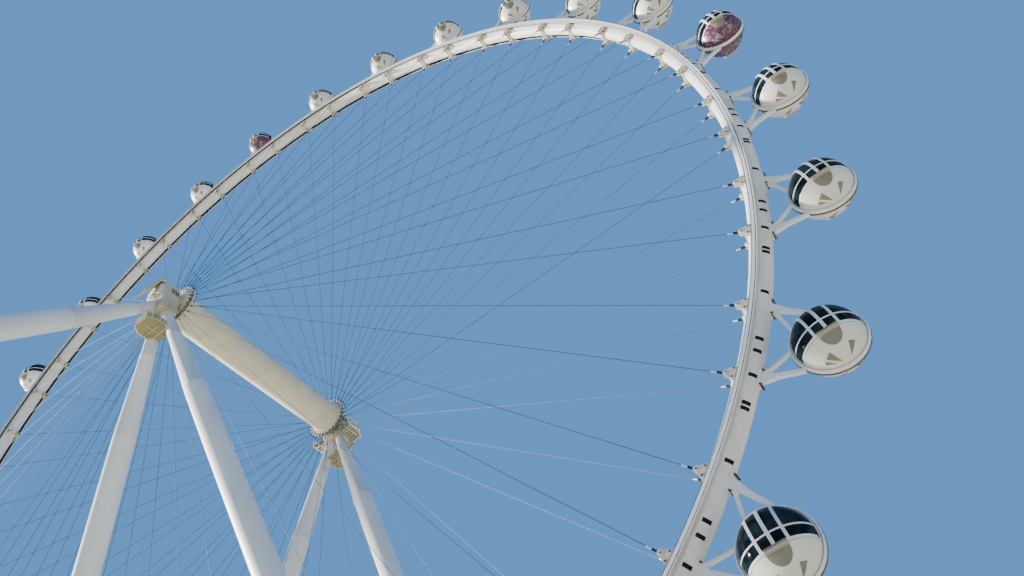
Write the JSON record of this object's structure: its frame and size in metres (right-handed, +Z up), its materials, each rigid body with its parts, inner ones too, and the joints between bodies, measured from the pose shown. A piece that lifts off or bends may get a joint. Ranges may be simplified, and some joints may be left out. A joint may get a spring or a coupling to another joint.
{
  "type": "ferris wheel, 1:10 scale model",
  "caption": "Tall cable-spoked ferris wheel with ball-shaped cabins outside its rim, on leaning tubular legs and a brace leg, as a 1:10 scale model.",
  "frame": {"origin": "at ground level, in the middle of the footprint's bounding box", "axes": "+Z up, Y along the wheel's axle with the brace leg towards -Y, X across the wheel"},
  "size_m": [16.131, 10.733, 16.7305],
  "materials": {
    "white_paint": "satin",
    "cabin_paint": "semi-gloss",
    "cable_steel": "matt",
    "access_paint": "matt"
  },
  "bodies": {
    "stand": {"head_near": "white_paint", "gallery_near": "access_paint", "walk_near": "access_paint", "leg_near_left": "white_paint", "leg_near_right": "white_paint", "head_far": "white_paint", "gallery_far": "access_paint", "walk_far": "access_paint", "leg_far_left": "white_paint", "leg_far_right": "white_paint", "brace_leg": "white_paint"},
    "wheel": {"hub_drum": "white_paint", "rim_section_1": "white_paint", "rim_section_2": "white_paint", "rim_section_3": "white_paint", "rim_section_4": "white_paint", "rim_section_5": "white_paint", "rim_section_6": "white_paint", "rim_section_7": "white_paint", "spokes_near_1": "cable_steel", "spokes_near_2": "cable_steel", "spokes_near_3": "cable_steel", "spokes_near_4": "cable_steel", "spokes_far_1": "cable_steel", "spokes_far_2": "cable_steel", "spokes_far_3": "cable_steel", "spokes_far_4": "cable_steel"},
    "cabin_01_body": {"cabin_01": "cabin_paint"},
    "cabin_02_body": {"cabin_02": "cabin_paint"},
    "cabin_03_body": {"cabin_03": "cabin_paint"},
    "cabin_04_body": {"cabin_04": "cabin_paint"},
    "cabin_05_body": {"cabin_05": "cabin_paint"},
    "cabin_06_body": {"cabin_06": "cabin_paint"},
    "cabin_07_body": {"cabin_07": "cabin_paint"},
    "cabin_08_body": {"cabin_08": "cabin_paint"},
    "cabin_09_body": {"cabin_09": "cabin_paint"},
    "cabin_10_body": {"cabin_10": "cabin_paint"},
    "cabin_11_body": {"cabin_11": "cabin_paint"},
    "cabin_12_body": {"cabin_12": "cabin_paint"},
    "cabin_13_body": {"cabin_13": "cabin_paint"},
    "cabin_14_body": {"cabin_14": "cabin_paint"},
    "cabin_15_body": {"cabin_15": "cabin_paint"},
    "cabin_16_body": {"cabin_16": "cabin_paint"},
    "cabin_17_body": {"cabin_17": "cabin_paint"},
    "cabin_18_body": {"cabin_18": "cabin_paint"},
    "cabin_19_body": {"cabin_19": "cabin_paint"},
    "cabin_20_body": {"cabin_20": "cabin_paint"},
    "cabin_21_body": {"cabin_21": "cabin_paint"},
    "cabin_22_body": {"cabin_22": "cabin_paint"},
    "cabin_23_body": {"cabin_23": "cabin_paint"},
    "cabin_24_body": {"cabin_24": "cabin_paint"},
    "cabin_25_body": {"cabin_25": "cabin_paint"},
    "cabin_26_body": {"cabin_26": "cabin_paint"},
    "cabin_27_body": {"cabin_27": "cabin_paint"},
    "cabin_28_body": {"cabin_28": "cabin_paint"}
  },
  "joints": [
    {"name": "wheel_spin", "type": "hinge", "parent": "stand", "child": "wheel", "pos_m": [0, 3.3665, 8.665], "axis": [0, 1, 0], "continuous": true},
    {"name": "cabin_01_level", "type": "hinge", "parent": "wheel", "child": "cabin_01_body", "pos_m": [4.93283, 3.3665, 2.67461], "axis": [0, 1, 0], "continuous": true},
    {"name": "cabin_02_level", "type": "hinge", "parent": "wheel", "child": "cabin_02_body", "pos_m": [6.14214, 3.3665, 3.92246], "axis": [0, 1, 0], "continuous": true},
    {"name": "cabin_03_level", "type": "hinge", "parent": "wheel", "child": "cabin_03_body", "pos_m": [7.04346, 3.3665, 5.40812], "axis": [0, 1, 0], "continuous": true},
    {"name": "cabin_04_level", "type": "hinge", "parent": "wheel", "child": "cabin_04_body", "pos_m": [7.59159, 3.3665, 7.05709], "axis": [0, 1, 0], "continuous": true},
    {"name": "cabin_05_level", "type": "hinge", "parent": "wheel", "child": "cabin_05_body", "pos_m": [7.75905, 3.3665, 8.78669], "axis": [0, 1, 0], "continuous": true},
    {"name": "cabin_06_level", "type": "hinge", "parent": "wheel", "child": "cabin_06_body", "pos_m": [7.53743, 3.3665, 10.51019], "axis": [0, 1, 0], "continuous": true},
    {"name": "cabin_07_level", "type": "hinge", "parent": "wheel", "child": "cabin_07_body", "pos_m": [6.93786, 3.3665, 12.14117], "axis": [0, 1, 0], "continuous": true},
    {"name": "cabin_08_level", "type": "hinge", "parent": "wheel", "child": "cabin_08_body", "pos_m": [5.99039, 3.3665, 13.59783], "axis": [0, 1, 0], "continuous": true},
    {"name": "cabin_09_level", "type": "hinge", "parent": "wheel", "child": "cabin_09_body", "pos_m": [4.74254, 3.3665, 14.80714], "axis": [0, 1, 0], "continuous": true},
    {"name": "cabin_10_level", "type": "hinge", "parent": "wheel", "child": "cabin_10_body", "pos_m": [3.25688, 3.3665, 15.70846], "axis": [0, 1, 0], "continuous": true},
    {"name": "cabin_11_level", "type": "hinge", "parent": "wheel", "child": "cabin_11_body", "pos_m": [1.60791, 3.3665, 16.25659], "axis": [0, 1, 0], "continuous": true},
    {"name": "cabin_12_level", "type": "hinge", "parent": "wheel", "child": "cabin_12_body", "pos_m": [-0.12169, 3.3665, 16.42405], "axis": [0, 1, 0], "continuous": true},
    {"name": "cabin_13_level", "type": "hinge", "parent": "wheel", "child": "cabin_13_body", "pos_m": [-1.84519, 3.3665, 16.20243], "axis": [0, 1, 0], "continuous": true},
    {"name": "cabin_14_level", "type": "hinge", "parent": "wheel", "child": "cabin_14_body", "pos_m": [-3.47617, 3.3665, 15.60286], "axis": [0, 1, 0], "continuous": true},
    {"name": "cabin_15_level", "type": "hinge", "parent": "wheel", "child": "cabin_15_body", "pos_m": [-4.93283, 3.3665, 14.65539], "axis": [0, 1, 0], "continuous": true},
    {"name": "cabin_16_level", "type": "hinge", "parent": "wheel", "child": "cabin_16_body", "pos_m": [-6.14214, 3.3665, 13.40754], "axis": [0, 1, 0], "continuous": true},
    {"name": "cabin_17_level", "type": "hinge", "parent": "wheel", "child": "cabin_17_body", "pos_m": [-7.04346, 3.3665, 11.92188], "axis": [0, 1, 0], "continuous": true},
    {"name": "cabin_18_level", "type": "hinge", "parent": "wheel", "child": "cabin_18_body", "pos_m": [-7.59159, 3.3665, 10.27291], "axis": [0, 1, 0], "continuous": true},
    {"name": "cabin_19_level", "type": "hinge", "parent": "wheel", "child": "cabin_19_body", "pos_m": [-7.75905, 3.3665, 8.54331], "axis": [0, 1, 0], "continuous": true},
    {"name": "cabin_20_level", "type": "hinge", "parent": "wheel", "child": "cabin_20_body", "pos_m": [-7.53743, 3.3665, 6.81981], "axis": [0, 1, 0], "continuous": true},
    {"name": "cabin_21_level", "type": "hinge", "parent": "wheel", "child": "cabin_21_body", "pos_m": [-6.93786, 3.3665, 5.18883], "axis": [0, 1, 0], "continuous": true},
    {"name": "cabin_22_level", "type": "hinge", "parent": "wheel", "child": "cabin_22_body", "pos_m": [-5.99039, 3.3665, 3.73217], "axis": [0, 1, 0], "continuous": true},
    {"name": "cabin_23_level", "type": "hinge", "parent": "wheel", "child": "cabin_23_body", "pos_m": [-4.74254, 3.3665, 2.52286], "axis": [0, 1, 0], "continuous": true},
    {"name": "cabin_24_level", "type": "hinge", "parent": "wheel", "child": "cabin_24_body", "pos_m": [-3.25688, 3.3665, 1.62154], "axis": [0, 1, 0], "continuous": true},
    {"name": "cabin_25_level", "type": "hinge", "parent": "wheel", "child": "cabin_25_body", "pos_m": [-1.60791, 3.3665, 1.07341], "axis": [0, 1, 0], "continuous": true},
    {"name": "cabin_26_level", "type": "hinge", "parent": "wheel", "child": "cabin_26_body", "pos_m": [0.12169, 3.3665, 0.90595], "axis": [0, 1, 0], "continuous": true},
    {"name": "cabin_27_level", "type": "hinge", "parent": "wheel", "child": "cabin_27_body", "pos_m": [1.84519, 3.3665, 1.12757], "axis": [0, 1, 0], "continuous": true},
    {"name": "cabin_28_level", "type": "hinge", "parent": "wheel", "child": "cabin_28_body", "pos_m": [3.47617, 3.3665, 1.72714], "axis": [0, 1, 0], "continuous": true}
  ],
  "couplings": [
    {"joint": "cabin_01_level", "follows": "wheel_spin", "ratio": -1},
    {"joint": "cabin_02_level", "follows": "wheel_spin", "ratio": -1},
    {"joint": "cabin_03_level", "follows": "wheel_spin", "ratio": -1},
    {"joint": "cabin_04_level", "follows": "wheel_spin", "ratio": -1},
    {"joint": "cabin_05_level", "follows": "wheel_spin", "ratio": -1},
    {"joint": "cabin_06_level", "follows": "wheel_spin", "ratio": -1},
    {"joint": "cabin_07_level", "follows": "wheel_spin", "ratio": -1},
    {"joint": "cabin_08_level", "follows": "wheel_spin", "ratio": -1},
    {"joint": "cabin_09_level", "follows": "wheel_spin", "ratio": -1},
    {"joint": "cabin_10_level", "follows": "wheel_spin", "ratio": -1},
    {"joint": "cabin_11_level", "follows": "wheel_spin", "ratio": -1},
    {"joint": "cabin_12_level", "follows": "wheel_spin", "ratio": -1},
    {"joint": "cabin_13_level", "follows": "wheel_spin", "ratio": -1},
    {"joint": "cabin_14_level", "follows": "wheel_spin", "ratio": -1},
    {"joint": "cabin_15_level", "follows": "wheel_spin", "ratio": -1},
    {"joint": "cabin_16_level", "follows": "wheel_spin", "ratio": -1},
    {"joint": "cabin_17_level", "follows": "wheel_spin", "ratio": -1},
    {"joint": "cabin_18_level", "follows": "wheel_spin", "ratio": -1},
    {"joint": "cabin_19_level", "follows": "wheel_spin", "ratio": -1},
    {"joint": "cabin_20_level", "follows": "wheel_spin", "ratio": -1},
    {"joint": "cabin_21_level", "follows": "wheel_spin", "ratio": -1},
    {"joint": "cabin_22_level", "follows": "wheel_spin", "ratio": -1},
    {"joint": "cabin_23_level", "follows": "wheel_spin", "ratio": -1},
    {"joint": "cabin_24_level", "follows": "wheel_spin", "ratio": -1},
    {"joint": "cabin_25_level", "follows": "wheel_spin", "ratio": -1},
    {"joint": "cabin_26_level", "follows": "wheel_spin", "ratio": -1},
    {"joint": "cabin_27_level", "follows": "wheel_spin", "ratio": -1},
    {"joint": "cabin_28_level", "follows": "wheel_spin", "ratio": -1}
  ]
}
